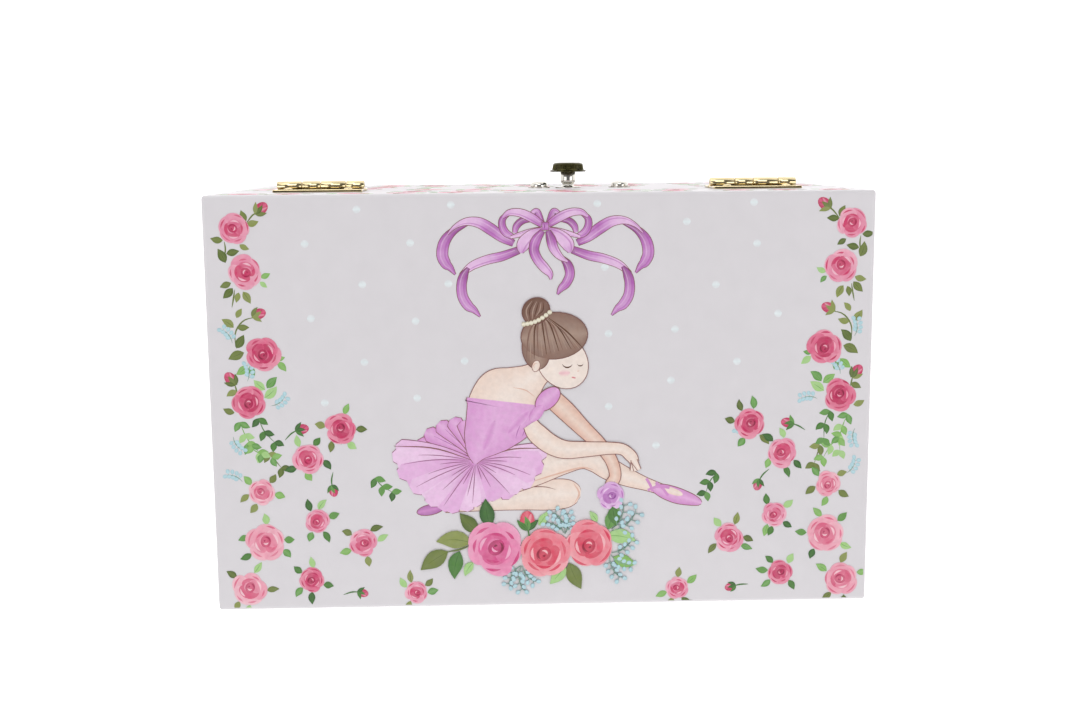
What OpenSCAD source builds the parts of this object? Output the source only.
// Ballerina jewellery box: a paper-wrapped board box with a hinged lid, a front drawer,
// a wound music movement behind the rear wall and a dancer on a spring.
// Millimetres. +Z is up, the front faces -Y, and the origin is the centre of the underside.

/* [Box] */
// Outer width of the box
box_w = 180; // [170:1:200]
// Outer depth of the box
box_d = 114; // [110:1:130]
// Overall height with the lid closed
box_h = 106; // [104:1:116]
// Height of the lid
lid_h = 30; // [28:1:32]
// Thickness of the wrapped board walls
wall = 4; // [4:0.5:4.5]
// Radius of the wrapped outer edges
edge_r = 1.8; // [1:0.1:2.5]

/* [Hinges] */
// Distance from the middle of the box to the middle of a hinge
hinge_x = 62; // [50:1:66]
// Width of a lid knuckle; each hinge has two
knuckle_lid_w = 7.2; // [6:0.1:8]
// Width of a box knuckle; each hinge has two
knuckle_box_w = 5.3; // [4.5:0.1:6]
// Outer radius of the hinge barrel
knuckle_r = 1.5; // [1.4:0.1:1.8]

/* [Movement] */
// Offset of the winding arbor to the right of the middle
key_x = 9.6; // [8:0.2:12]
// Height of the winding arbor above the underside
key_z = 58; // [57.5:0.5:58.5]
// Distance between the two movement screws
screw_pitch = 24.2; // [23:0.1:26]
// Offset of the left movement screw from the middle of the box
screw_x = 0.9; // [0:0.1:2]

/* [Dancer] */
// Forward lean of the folded dancer, from upright, in degrees
fold_angle = 80; // [76:1:82]
// Height of the dancer above the middle of her spring
dancer_h = 46; // [44:1:47]

/* [Hidden] */
$fn = 48;

eps = 0.01;
seam_gap = 0.3;
seam_z = box_h - lid_h;
inner_w = box_w - 2 * wall;
inner_d = box_d - 2 * wall;
rear_y = box_d / 2;
inner_rear_y = rear_y - wall;

// heights inside the body
felt_t = 0.8;
base_top = 4;
drawer_gap = 0.8;
drawer_h = 24;
shelf_z = 29.5;
shelf_t = 2.5;
tray_z = shelf_z + shelf_t;
lining_t = 1.2;

// front opening for the drawer
drawer_open_w = 158;
drawer_clear = 0.7;
drawer_w = drawer_open_w - 2 * drawer_clear;
drawer_depth = 98;
drawer_wall = 2.5;

// hinges: the axis lies on the seam, one barrel radius behind the rear face
hinge_y = rear_y + knuckle_r;
leaf_t = 0.8;
leaf_h = 9;
leaf_clear = 0.3;
knuckle_gap = 0.16;
hinge_w = 2 * (knuckle_lid_w + knuckle_box_w);
hinge_pin_r = 0.75;
running = 0.05;
nail_x = 8.4;
nail_z = 6.4;
nail_r = 0.5;
nail_head_r = 1.25;

// movement, counted from the inner face of the rear wall
plate_t = 2;
plate_y = inner_rear_y - plate_t;
plate_left = -35;
plate_right = 31;
plate_low = 36;
plate_high = 69;
screw_r = 1.25;
screw_head_r = 2.6;
screw_head_h = 1.5;
washer_r = 3.3;
washer_t = 0.4;
arbor_r = 1.5;
barrel_r = 9;
barrel_back = plate_y - 1.5;
barrel_front = barrel_back - 8;
barrel_skin = 0.8;
// crown teeth on the front rim of the barrel, and the two pinions that they turn
crown_teeth = 32;
crown_r = 8.25;
crown_face = 1.3;
crown_tooth_h = 1.2;
tooth_w = 0.36;
pinion_teeth = 12;
pinion_tip_r = 3.4;
pinion_root_r = 2.45;
pinion_t = 1.0;
mesh_r = 2.7;
crown_tip_y = barrel_front - crown_tooth_h;
drive_y = crown_tip_y - mesh_r;
// tune cylinder, comb and governor
cyl_r = 6;
cyl_left = -17.5;
cyl_right = -2;
cyl_arbor_r = 1;
pin_h = 0.7;
pin_r = 0.18;
notes = 18;
note_pitch = 0.82;
comb_t = 1;
comb_base_z = 37.4;
comb_base_h = 5.6;
comb_tip_z = key_z - cyl_r - pin_h - 0.25;
gov_x = -26.4;
gov_y = 43;
gov_half = 5.3;
gov_low = 48;
gov_high = 66;
fly_r = 4;
wire_x = -33.4;
wire_y = 46;
wire_r = 0.6;
liner_t = 1.6;
liner_z = box_h - wall - liner_t;

// stage over the movement
stage_left = -37;
stage_right = 36;
stage_front = 27;
stage_t = 1.8;
stage_top = 71;
spindle_r = 0.9;

// dancer: measured along her own axis from the middle of the spring
pivot_z = stage_top + 5;
spring_half = 4.2;
coil_r = 1.9;
coil_wire = 0.3;
coil_turns = 6;
socket_h = 2.6;
skirt_s = 23.5;
skirt_r = 12;

// ---- helpers ----------------------------------------------------------------------------

// Flat outline of the box with round vertical edges, from true arcs
module box_outline(w, d, r) {
    square([w - 2 * r, d], center = true);
    square([w, d - 2 * r], center = true);
    for (sx = [-1, 1], sy = [-1, 1])
        translate([sx * (w / 2 - r), sy * (d / 2 - r)]) circle(r);
}

// Box between two corners
module block(lo, hi) {
    translate(lo) cube(hi - lo);
}

// Cylinder along +Y that starts at the given point
module rod_y(p, r, len) {
    translate(p) rotate([-90, 0, 0]) cylinder(r = r, h = len);
}

// Cylinder along +X that starts at the given point
module rod_x(p, r, len) {
    translate(p) rotate([0, 90, 0]) cylinder(r = r, h = len);
}

// Body walls: the outline from the base to the seam, cut down to one panel
module wall_panel(lo, hi) {
    intersection() {
        translate([0, 0, base_top])
            linear_extrude(seam_z - seam_gap / 2 - base_top) box_outline(box_w, box_d, edge_r);
        block(lo, hi);
    }
}

// Positions of the eight hinge nails on one pair of leaves, up or down from the axis
module at_nails(side) {
    for (hx = [-hinge_x, hinge_x], nx = [-nail_x, nail_x])
        translate([hx + nx, 0, seam_z + side * nail_z]) children();
}

// Straight pinion with slender radial teeth, about +Z, with a gap towards +Y
module pinion() {
    linear_extrude(pinion_t, center = true) {
        circle(pinion_root_r);
        for (i = [0 : pinion_teeth - 1])
            rotate((i + 0.5) * 360 / pinion_teeth + 90)
                translate([pinion_root_r - 0.3, -tooth_w / 2])
                    square([pinion_tip_r - pinion_root_r + 0.3, tooth_w]);
    }
}

// The dancer's own frame: her axis is +Z, the middle of the spring is the origin
module in_dancer_frame() {
    translate([key_x, drive_y, pivot_z]) rotate([fold_angle, 0, 0]) children();
}

// ---- box --------------------------------------------------------------------------------

module base_felt() {
    color("#c9c2c8") linear_extrude(felt_t) box_outline(box_w - 4, box_d - 4, edge_r);
}

module base_panel() {
    color("#eadfe4") translate([0, 0, felt_t])
        linear_extrude(base_top - felt_t) box_outline(box_w, box_d, edge_r);
}

module rear_panel() {
    color("#eadfe4") difference() {
        wall_panel([-inner_w / 2, inner_rear_y, base_top], [inner_w / 2, rear_y + 1, seam_z]);
        rod_y([key_x, inner_rear_y - 1, key_z], 3, wall + 2);
        for (x = [screw_x, screw_x + screw_pitch])
            rod_y([x, inner_rear_y - 1, key_z], screw_r + running, wall + 2);
        at_nails(-1) rod_y([0, inner_rear_y - 1, 0], nail_r + running, wall + 2);
    }
}

module front_panel() {
    color("#eadfe4") difference() {
        wall_panel([-inner_w / 2, -rear_y - 1, base_top], [inner_w / 2, -inner_rear_y, seam_z]);
        block([-drawer_open_w / 2, -rear_y - 1, base_top - 1],
            [drawer_open_w / 2, -inner_rear_y + 1, shelf_z]);
    }
}

module left_panel() {
    color("#eadfe4") wall_panel([-box_w, -box_d, base_top], [-inner_w / 2, box_d, seam_z]);
}

module right_panel() {
    color("#eadfe4") wall_panel([inner_w / 2, -box_d, base_top], [box_w, box_d, seam_z]);
}

module shelf_panel() {
    color("#d9ccd2") block([-inner_w / 2, -inner_d / 2, shelf_z], [inner_w / 2, inner_d / 2, tray_z]);
}

// Flocked insert: a floor with low walls, left out under the stage
module tray_lining() {
    color("#f0a8c0") difference() {
        block([-inner_w / 2, -inner_d / 2, tray_z], [inner_w / 2, inner_d / 2, seam_z - 2]);
        block([-inner_w / 2 + lining_t, -inner_d / 2 + lining_t, tray_z + lining_t],
            [inner_w / 2 - lining_t, inner_d / 2 - lining_t, seam_z]);
        block([stage_left, stage_front, tray_z - 1], [stage_right, inner_d, seam_z]);
    }
}

module tray_dividers() {
    divider_t = 1.6;
    divider_top = 58;
    divider_x = -34;
    divider_y = -14;
    color("#f0a8c0") {
        block([divider_x, -inner_d / 2 + lining_t, tray_z + lining_t], [divider_x + divider_t, stage_front, divider_top]);
        block([divider_x + divider_t, divider_y, tray_z + lining_t],
            [inner_w / 2 - lining_t, divider_y + divider_t, divider_top]);
    }
}

// Five soft rolls that hold rings between them
module ring_cushions() {
    roll_r = 6.2;
    roll_pitch = 13.4;
    roll_count = 5;
    roll_len = 48;
    color("#f4b6ca") for (i = [0 : roll_count - 1])
        rod_x([-inner_w / 2 + lining_t + 1, -44 + i * roll_pitch, tray_z + lining_t + roll_r + 0.2], roll_r, roll_len);
}

// Raised platform that hides the movement, open behind and below
module stage_cover() {
    color("#f0a8c0") difference() {
        block([stage_left, stage_front, tray_z], [stage_right, inner_rear_y, stage_top]);
        block([stage_left + stage_t, stage_front + stage_t, tray_z - 1],
            [stage_right - stage_t, inner_rear_y + 1, stage_top - stage_t]);
        translate([key_x, drive_y, stage_top - stage_t - 1]) cylinder(r = 2.4, h = stage_t + 2);
        translate([wire_x, wire_y, stage_top - stage_t - 1]) cylinder(r = wire_r + 0.5, h = stage_t + 2);
    }
}

// Brass eyelet in the stage where the spindle comes out
module spindle_bush() {
    color("#d8c27a") translate([key_x, drive_y, stage_top - stage_t]) difference() {
        union() {
            cylinder(r = 2.35, h = stage_t);
            translate([0, 0, stage_t]) cylinder(r = 3.6, h = 0.4);
        }
        translate([0, 0, -1]) cylinder(r = spindle_r + running, h = stage_t + 3);
    }
}

// ---- lid --------------------------------------------------------------------------------

module lid_top() {
    color("#eadfe4") translate([0, 0, box_h - wall]) linear_extrude(wall) box_outline(box_w, box_d, edge_r);
}

module lid_frame() {
    low = seam_z + seam_gap / 2;
    color("#eadfe4") difference() {
        translate([0, 0, low]) linear_extrude(box_h - wall - low) box_outline(box_w, box_d, edge_r);
        block([-inner_w / 2, -inner_d / 2, low - 1], [inner_w / 2, inner_d / 2, box_h]);
        at_nails(1) rod_y([0, inner_rear_y - 1, 0], nail_r + running, wall + 2);
    }
}

mirror_w = 104;
mirror_d = 66;

// Card that covers the underside of the lid, with a window for the mirror
module lid_liner() {
    color("#f0a8c0") difference() {
        block([-inner_w / 2, -inner_d / 2, liner_z], [inner_w / 2, inner_d / 2, box_h - wall]);
        block([-mirror_w / 2, -mirror_d / 2, liner_z - 1], [mirror_w / 2, mirror_d / 2, box_h]);
    }
}

module lid_mirror() {
    color("#cfd8dc") block([-mirror_w / 2, -mirror_d / 2, liner_z + 0.2], [mirror_w / 2, mirror_d / 2, box_h - wall]);
}

// ---- hinges -----------------------------------------------------------------------------

// One leaf with its own two of the four knuckles; side is 1 for the lid and -1 for the box
module hinge_leaf(side) {
    pair_w = knuckle_lid_w + knuckle_box_w;
    start = side > 0 ? 0 : knuckle_lid_w;
    own_w = (side > 0 ? knuckle_lid_w : knuckle_box_w) - knuckle_gap;
    web_h = 2.5;
    low = side > 0 ? knuckle_r + leaf_clear : -leaf_h;
    high = side > 0 ? leaf_h : -knuckle_r - leaf_clear;
    difference() {
        union() {
            block([-hinge_w / 2, -knuckle_r, low], [hinge_w / 2, -knuckle_r + leaf_t, high]);
            for (i = [0, 1])
                translate([-hinge_w / 2 + start + i * pair_w + knuckle_gap / 2, 0, 0]) {
                    block([0, -knuckle_r, min(0, side * web_h)], [own_w, -knuckle_r + leaf_t, max(0, side * web_h)]);
                    rod_x([0, 0, 0], knuckle_r, own_w);
                }
        }
        rod_x([-hinge_w, 0, 0], hinge_pin_r + running, 2 * hinge_w);
        for (nx = [-nail_x, nail_x])
            rod_y([nx, -knuckle_r - 1, side * nail_z], nail_r + running, leaf_t + 2);
    }
}

module hinge_leaves_box() {
    color("#d6bf7c") for (hx = [-hinge_x, hinge_x]) translate([hx, hinge_y, seam_z]) hinge_leaf(-1);
}

module hinge_leaves_lid() {
    color("#d6bf7c") for (hx = [-hinge_x, hinge_x]) translate([hx, hinge_y, seam_z]) hinge_leaf(1);
}

module hinge_pins() {
    color("#b79f5c") for (hx = [-hinge_x, hinge_x])
        rod_x([hx - hinge_w / 2 + 0.2, hinge_y, seam_z], hinge_pin_r, hinge_w - 0.4);
}

// Domed brass nail: shank along -Y, head on the leaf
module hinge_nail() {
    head_h = 0.5;
    rod_y([0, rear_y - wall + 0.6, 0], nail_r, wall - 0.6 + leaf_t);
    rod_y([0, rear_y + leaf_t, 0], nail_head_r, head_h);
}

module hinge_nails_box() {
    color("#c9b06a") at_nails(-1) hinge_nail();
}

module hinge_nails_lid() {
    color("#c9b06a") at_nails(1) hinge_nail();
}

// ---- winding knob and movement screws -----------------------------------------------------

// Pan-head screw with a cross recess, through the rear wall into the bedplate
module movement_screws() {
    recess_w = 0.6;
    recess_l = 2.8;
    // outline of half the head: a flat crown between round shoulders
    shoulder = 1.1;
    color("#d7cfae") for (x = [screw_x, screw_x + screw_pitch]) {
        rod_y([x, plate_y + 0.2, key_z], screw_r, rear_y + washer_t - plate_y - 0.2);
        translate([x, rear_y + washer_t, key_z]) rotate([-90, 0, 0]) difference() {
            rotate_extrude() intersection() {
                union() {
                    square([screw_head_r, screw_head_h - shoulder]);
                    square([screw_head_r - shoulder, screw_head_h]);
                    translate([screw_head_r - shoulder, screw_head_h - shoulder]) circle(shoulder);
                }
                square([screw_head_r, screw_head_h]);
            }
            for (a = [0, 90]) rotate(a)
                translate([-recess_l / 2, -recess_w / 2, screw_head_h - 0.9]) cube([recess_l, recess_w, 2]);
        }
    }
}

module movement_washers() {
    color("#e2e0da") for (x = [screw_x, screw_x + screw_pitch]) difference() {
        rod_y([x, rear_y, key_z], washer_r, washer_t);
        rod_y([x, rear_y - 1, key_z], screw_r + running, washer_t + 2);
    }
}

escutcheon_t = 0.3;
stem_r = 2.25;
neck_r = 1.95;
neck_len = 1.4;
stem_len = 4.4;
knob_r = 5.4;
knob_t = 2.7;

module key_escutcheon() {
    color("#d9d9d9") difference() {
        rod_y([key_x, rear_y, key_z], 3.9, escutcheon_t);
        rod_y([key_x, rear_y - 1, key_z], neck_r + 0.08, escutcheon_t + 2);
    }
}

module winding_stem() {
    color("#d9dadb") difference() {
        union() {
            rod_y([key_x, rear_y + 0.1, key_z], neck_r, neck_len);
            rod_y([key_x, rear_y + neck_len, key_z], stem_r, stem_len - neck_len + 0.4);
        }
        rod_y([key_x, rear_y - 1, key_z], arbor_r + 0.03, 4);
    }
}

// Round knob with fine flutes round its rim
module winding_knob() {
    flutes = 40;
    flute_r = 0.24;
    color("#4a4636") translate([key_x, rear_y + stem_len + 0.4, key_z]) rotate([-90, 0, 0]) difference() {
        cylinder(r = knob_r, h = knob_t);
        for (i = [0 : flutes - 1])
            rotate(i * 360 / flutes) translate([knob_r, 0, 0.5]) cylinder(r = flute_r, h = knob_t - 1, $fn = 4);
    }
}

module winding_arbor() {
    color("#b8b8b8") rod_y([key_x, barrel_front + 0.2, key_z], arbor_r, rear_y + 2.8 - barrel_front - 0.2);
}

// ---- movement ---------------------------------------------------------------------------

// Vertical plate with bearing ears for the cylinder, an arm over the barrel and a wire guide
module bedplate() {
    ear_t = 1.2;
    ear_half = 3;
    arm_half = 4;
    arm_t = 1;
    color("#c8ccd0") difference() {
        union() {
            block([plate_left, plate_y, plate_low], [plate_right, inner_rear_y, plate_high]);
            for (x = [cyl_left - 0.3 - ear_t, cyl_right + 0.4])
                block([x, drive_y - ear_half, key_z - ear_half], [x + ear_t, plate_y + eps, key_z + ear_half]);
            block([key_x - arm_half, drive_y - arm_half, plate_high - arm_t], [key_x + arm_half, plate_y + eps, plate_high]);
            block([wire_x - 1.4, wire_y - 1.6, 56], [wire_x + 1.4, plate_y + eps, 57.4]);
        }
        rod_y([key_x, plate_y - 1, key_z], arbor_r + running, plate_t + 2);
        for (x = [screw_x, screw_x + screw_pitch])
            rod_y([x, plate_y - 1, key_z], screw_r + running, plate_t + 2);
        rod_x([cyl_left - 5, drive_y, key_z], cyl_arbor_r + running, cyl_right - cyl_left + 10);
        translate([key_x, drive_y, plate_high - 3]) cylinder(r = spindle_r + running, h = 5);
        translate([wire_x, wire_y, 50]) cylinder(r = wire_r + running, h = 10);
    }
}

// Hollow drum, open behind, with crown teeth on its front rim
module spring_barrel() {
    color("#d8c27a") translate([key_x, 0, key_z]) difference() {
        union() {
            rod_y([0, barrel_front, 0], barrel_r, barrel_back - barrel_front);
            for (i = [0 : crown_teeth - 1])
                rotate([0, i * 360 / crown_teeth, 0])
                    block([crown_r - crown_face / 2, crown_tip_y, -tooth_w / 2],
                        [crown_r + crown_face / 2, barrel_front + 0.1, tooth_w / 2]);
        }
        rod_y([0, barrel_front + barrel_skin, 0], barrel_r - barrel_skin, barrel_back);
        rod_y([0, barrel_front - 1, 0], arbor_r + running, 4);
    }
}

module barrel_cap() {
    color("#d8c27a") difference() {
        rod_y([key_x, barrel_back - barrel_skin, key_z], barrel_r - barrel_skin - 0.05, barrel_skin);
        rod_y([key_x, barrel_back - 3, key_z], arbor_r + running, 5);
    }
}

// Steel strip wound in a spiral inside the barrel
module mainspring() {
    turns = 7;
    steps = 16 * turns;
    strip_t = 0.3;
    r_in = 2.2;
    r_out = 7.6;
    function spiral(k, off) =
        let (r = r_in + (r_out - r_in) * k / steps + off, a = 360 * turns * k / steps) [r * cos(a), r * sin(a)];
    outline = concat([for (k = [0 : steps]) spiral(k, strip_t / 2)], [for (k = [steps : -1 : 0]) spiral(k, -strip_t / 2)]);
    color("#8d9094") translate([key_x, barrel_front + barrel_skin + 5.9, key_z]) rotate([90, 0, 0])
        linear_extrude(5.6) polygon(outline);
}

module tune_cylinder() {
    color("#d8c27a") difference() {
        rod_x([cyl_left, drive_y, key_z], cyl_r, cyl_right - cyl_left);
        rod_x([cyl_left - 1, drive_y, key_z], cyl_arbor_r, cyl_right - cyl_left + 2);
    }
}

// Pins of the tune: each note has three, placed by a fixed pattern round the cylinder
module tune_pins() {
    color("#e8e8e8") for (i = [0 : notes - 1], j = [0 : 2])
        translate([cyl_left + 0.9 + i * note_pitch, drive_y, key_z])
            rotate([(i * 67 + j * 113) % 360, 0, 0])
                cylinder(r = pin_r, h = cyl_r + pin_h, $fn = 6);
}

module cylinder_arbor() {
    color("#b8b8b8") rod_x([cyl_left - 2.6, drive_y, key_z], cyl_arbor_r, key_x - crown_r + 0.8 - cyl_left + 2.6);
}

module cylinder_pinion() {
    color("#cbb569") difference() {
        translate([key_x - crown_r, drive_y, key_z]) rotate([0, 90, 0]) rotate(0) pinion();
        rod_x([key_x - crown_r - 2, drive_y, key_z], cyl_arbor_r, 4);
    }
}

module comb_riser() {
    color("#c8ccd0") difference() {
        block([cyl_left, drive_y + comb_t / 2, comb_base_z], [cyl_right, plate_y, comb_base_z + comb_base_h - 0.6]);
        for (x = [cyl_left + 3.5, cyl_right - 3.5])
            rod_y([x, drive_y, comb_base_z + 2.5], 0.9 + running, 6);
    }
}

// Steel comb: one tooth for each note
module comb() {
    slit = 0.26;
    color("#a9adb2") difference() {
        union() {
            block([cyl_left, drive_y - comb_t / 2, comb_base_z],
                [cyl_right, drive_y + comb_t / 2, comb_base_z + comb_base_h]);
            for (i = [0 : notes - 1]) {
                mid = cyl_left + 0.9 + i * note_pitch;
                half = (note_pitch - slit) / 2;
                block([mid - half, drive_y - comb_t / 2 + 0.2, comb_base_z + comb_base_h - 0.5],
                    [mid + half, drive_y + comb_t / 2 - 0.2, comb_tip_z]);
            }
        }
        for (x = [cyl_left + 3.5, cyl_right - 3.5])
            rod_y([x, drive_y - 2, comb_base_z + 2.5], 0.9 + running, 4);
    }
}

module comb_screws() {
    color("#b8b8b8") for (x = [cyl_left + 3.5, cyl_right - 3.5]) {
        rod_y([x, drive_y - comb_t / 2, comb_base_z + 2.5], 0.9, 5.5);
        difference() {
            rod_y([x, drive_y - comb_t / 2 - 0.9, comb_base_z + 2.5], 1.7, 0.9);
            block([x - 2, drive_y - comb_t / 2 - 1.5, comb_base_z + 2.3], [x + 2, drive_y - comb_t / 2 - 0.5, comb_base_z + 2.7]);
        }
    }
}

// Moulded cage in which the fly turns
module governor_frame() {
    cage_t = 1;
    color("#f2f2ee") difference() {
        block([gov_x - gov_half, gov_y - gov_half, gov_low], [gov_x + gov_half, plate_y, gov_high]);
        block([gov_x - gov_half + cage_t, gov_y - gov_half - 1, gov_low + cage_t],
            [gov_x + gov_half - cage_t, plate_y - 2, gov_high - cage_t]);
        translate([gov_x, gov_y, gov_low - 1]) cylinder(r = 0.5 + running, h = gov_high - gov_low + 2);
    }
}

// Worm shaft with two thin wings that beat the air and slow the tune
module governor_fly() {
    color("#e0e0da") translate([gov_x, gov_y, 0]) {
        translate([0, 0, gov_low + 0.1]) cylinder(r = 0.5, h = gov_high - gov_low - 0.2);
        translate([0, 0, gov_low + 2]) cylinder(r = 1.3, h = 6);
        block([-fly_r, -0.2, gov_high - 8], [fly_r, 0.2, gov_high - 2]);
    }
}

// Wire that the closing lid presses down to stop the tune
module stop_wire() {
    color("#c9cdd0") {
        translate([wire_x, wire_y, 52]) cylinder(r = wire_r, h = liner_z - 0.2 - 52);
        translate([wire_x, wire_y, 60]) cylinder(r = wire_r + 0.5, h = 1);
    }
}

module spindle() {
    color("#c9cdd0") {
        translate([key_x, drive_y, key_z + crown_r - 1]) cylinder(r = spindle_r, h = pivot_z - spring_half - key_z - crown_r + 1);
        translate([key_x, drive_y, stage_top + 0.5]) cylinder(r = coil_r + 0.5, h = pivot_z - spring_half - stage_top - 0.5);
    }
}

module spindle_pinion() {
    color("#cbb569") difference() {
        translate([key_x, drive_y, key_z + crown_r]) pinion();
        translate([key_x, drive_y, key_z + crown_r - 2]) cylinder(r = spindle_r, h = 4);
    }
}

// ---- dancer -----------------------------------------------------------------------------

// Centre line of the bent spring: a round arc that leaves upright and ends along the dancer's lean
bend_r = spring_half / tan(fold_angle / 2);
function bend_point(t) =
    let (a = fold_angle * t)
    [key_x, drive_y - bend_r * (1 - cos(a)), pivot_z - spring_half + bend_r * sin(a)];

// Ring of one wire section round the coil at phase t
function coil_ring(t, sides) =
    let (c = bend_point(t), a = fold_angle * t, w = 360 * coil_turns * t,
        u = [1, 0, 0], v = [0, cos(a), sin(a)], n = [0, -sin(a), cos(a)],
        out = cos(w) * u + sin(w) * v)
    [for (k = [0 : sides - 1]) c + (coil_r + coil_wire * cos(360 * k / sides)) * out + coil_wire * sin(360 * k / sides) * n];

// Coil spring, bent forward under the closed lid
module figure_spring() {
    sides = 6;
    rings = 18 * coil_turns;
    t_end = coil_wire / spring_half;
    pts = [for (i = [0 : rings]) each coil_ring(t_end + (1 - 2 * t_end) * i / rings, sides)];
    quads = [for (i = [0 : rings - 1], k = [0 : sides - 1])
        [i * sides + k, i * sides + (k + 1) % sides, (i + 1) * sides + (k + 1) % sides, (i + 1) * sides + k]];
    first = [for (k = [sides - 1 : -1 : 0]) k];
    last = [for (k = [0 : sides - 1]) rings * sides + k];
    color("#d9d3c0") polyhedron(points = pts, faces = concat(quads, [first, last]));
}

// Socket at the far end of the spring
module figure_socket() {
    color("#e8d9c0") in_dancer_frame() translate([0, 0, spring_half]) cylinder(r = coil_r + 0.4, h = socket_h);
}

// Round limb between two points
module limb(a, b, ra, rb) {
    hull() {
        translate(a) sphere(ra, $fn = 18);
        translate(b) sphere(rb, $fn = 18);
    }
}

// The dancer stands on one pointe with her arms over her head
module figure_body() {
    color("#f3dccb") in_dancer_frame() {
        limb([0, 0, 7.9], [0, 0, 14], 1.0, 1.6);
        limb([0, 0, 14], [0, 0, 23], 1.5, 2.3);
        limb([0, 0, 25], [0, 0, 32.6], 2.0, 2.6);
        limb([0, 0, 34], [0, 0, 37.4], 1.1, 1.1);
        translate([0, 0, 39]) sphere(2.9, $fn = 24);
        for (s = [-1, 1]) {
            limb([s * 2.4, 0, 33.2], [s * 5.4, 0, 38.6], 0.9, 0.7);
            limb([s * 5.4, 0, 38.6], [s * 2.2, 0, 44.4], 0.7, 0.5);
        }
    }
}

// Stiff net skirt, thin and flared
module figure_skirt() {
    color("#ee9cc0") in_dancer_frame() rotate_extrude()
        polygon([[2.6, skirt_s + 1.6], [7, skirt_s], [skirt_r, skirt_s - 2.2], [skirt_r, skirt_s - 1.4], [7, skirt_s + 1.2], [2.6, skirt_s + 3.2]]);
}

module figure_hair() {
    color("#6b4a3a") in_dancer_frame() {
        translate([0, 0.6, dancer_h - 3.2]) sphere(1.5, $fn = 20);
    }
}

// ---- drawer -----------------------------------------------------------------------------

// Strips that keep the drawer in line with its opening
module drawer_rails() {
    rail_h = 12;
    color("#d9ccd2") for (s = [-1, 1])
        translate([s * (drawer_open_w / 2 + inner_w / 2) / 2, 0, base_top + rail_h / 2])
            cube([(inner_w - drawer_open_w) / 2, inner_d - 2, rail_h], center = true);
}

module drawer_front() {
    color("#eadfe4") difference() {
        block([-drawer_w / 2, -rear_y, base_top + drawer_gap],
            [drawer_w / 2, -inner_rear_y, base_top + drawer_gap + drawer_h]);
        rod_y([0, -rear_y - 1, base_top + drawer_gap + drawer_h / 2], 1 + running, wall + 2);
    }
}

// Card tray behind the front, open at the top
module drawer_tray() {
    low = base_top + 0.3;
    color("#e6cfd8") difference() {
        block([-drawer_w / 2, -inner_rear_y, low], [drawer_w / 2, -inner_rear_y + drawer_depth, low + drawer_h - 2]);
        block([-drawer_w / 2 + drawer_wall, -inner_rear_y + drawer_wall, low + 2],
            [drawer_w / 2 - drawer_wall, -inner_rear_y + drawer_depth - drawer_wall, low + drawer_h]);
    }
}

module drawer_lining() {
    color("#f0a8c0") block([-drawer_w / 2 + drawer_wall, -inner_rear_y + drawer_wall, base_top + 2.3],
        [drawer_w / 2 - drawer_wall, -inner_rear_y + drawer_depth - drawer_wall, base_top + 3.3]);
}

// Small turned brass knob with its shank through the drawer front
module drawer_knob() {
    neck_r = 1.8;
    ball_r = 3.6;
    color("#d6bf7c") translate([0, -rear_y, base_top + drawer_gap + drawer_h / 2]) rotate([90, 0, 0]) {
        translate([0, 0, -wall]) cylinder(r = 1, h = wall);
        cylinder(r = 3.2, h = 0.6);
        cylinder(r = neck_r, h = 4);
        translate([0, 0, 5.6]) sphere(ball_r);
    }
}

base_felt();
base_panel();
rear_panel();
front_panel();
left_panel();
right_panel();
shelf_panel();
tray_lining();
tray_dividers();
ring_cushions();
stage_cover();
spindle_bush();
lid_top();
lid_frame();
lid_liner();
lid_mirror();
hinge_leaves_box();
hinge_leaves_lid();
hinge_pins();
hinge_nails_box();
hinge_nails_lid();
movement_screws();
movement_washers();
key_escutcheon();
winding_knob();
winding_stem();
winding_arbor();
bedplate();
spring_barrel();
barrel_cap();
mainspring();
tune_cylinder();
tune_pins();
cylinder_arbor();
cylinder_pinion();
comb_riser();
comb();
comb_screws();
governor_frame();
governor_fly();
stop_wire();
spindle();
spindle_pinion();
figure_spring();
figure_socket();
figure_body();
figure_skirt();
figure_hair();
drawer_rails();
drawer_front();
drawer_tray();
drawer_lining();
drawer_knob();
